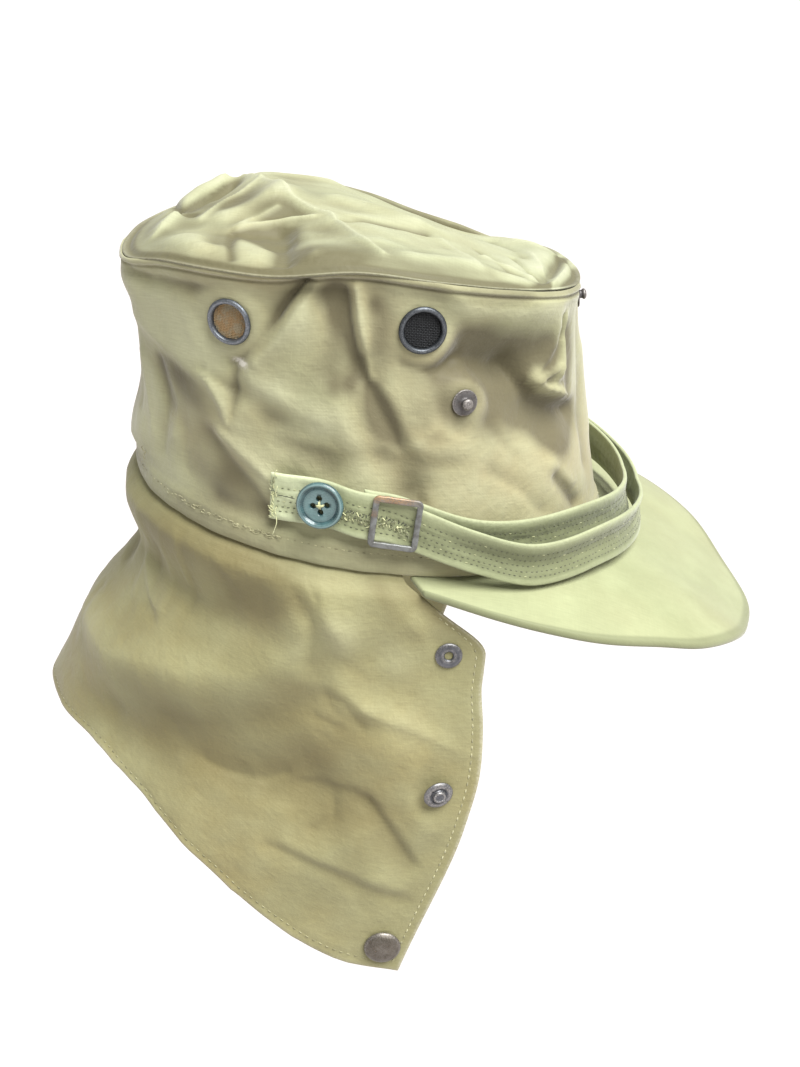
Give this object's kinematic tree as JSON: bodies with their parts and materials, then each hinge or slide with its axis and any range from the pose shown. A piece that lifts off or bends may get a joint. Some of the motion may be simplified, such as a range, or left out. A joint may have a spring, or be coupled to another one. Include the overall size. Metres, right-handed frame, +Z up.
{
  "type": "combat cap",
  "caption": "Soft field cap with a puffed flat top, a stiff rounded peak, a buckled chin strap resting over the peak and a wide neck flap that hangs from temple to temple.",
  "frame": {"origin": "middle of the head opening, in the plane of the crown's lower edge", "axes": "+X forward over the peak, +Y to the wearer's left, +Z up; the opening's plane falls 8 degrees to the front"},
  "size_m": [0.3125, 0.2074, 0.3073],
  "materials": {
    "crown_cloth": "washed olive khaki cotton sateen, faintly shiny on the folds",
    "peak_cloth": "lighter green cotton, tightly woven, with stitch rows on the strap",
    "fitting_metal": "dull dark grey lacquer, worn through to brown on the edges",
    "vent_wire_rusty": "fine wire mesh, rusty brown",
    "vent_wire_dark": "fine wire mesh, black lacquer",
    "button_plastic": "dark teal, polished, scuffed"
  },
  "bodies": {
    "root": {"crown_side": "crown_cloth", "crown_top": "crown_cloth", "neck_flap": "crown_cloth", "peak": "peak_cloth", "chin_strap_outer": "peak_cloth", "chin_strap_inner": "peak_cloth", "strap_buckle": "fitting_metal", "button_right": "button_plastic", "button_left": "button_plastic", "vent_rear_right_ring": "fitting_metal", "vent_rear_left_ring": "fitting_metal", "vent_front_right_ring": "fitting_metal", "vent_front_left_ring": "fitting_metal", "vent_rear_right_mesh": "vent_wire_rusty", "vent_rear_left_mesh": "vent_wire_rusty", "vent_front_right_mesh": "vent_wire_dark", "vent_front_left_mesh": "vent_wire_dark", "stud_right": "fitting_metal", "stud_left": "fitting_metal", "stud_front": "fitting_metal", "snap_ring_right": "fitting_metal", "snap_ring_left": "fitting_metal", "snap_post_right": "fitting_metal", "snap_post_left": "fitting_metal", "snap_cap_right": "fitting_metal", "snap_cap_left": "fitting_metal"}
  },
  "joints": []
}
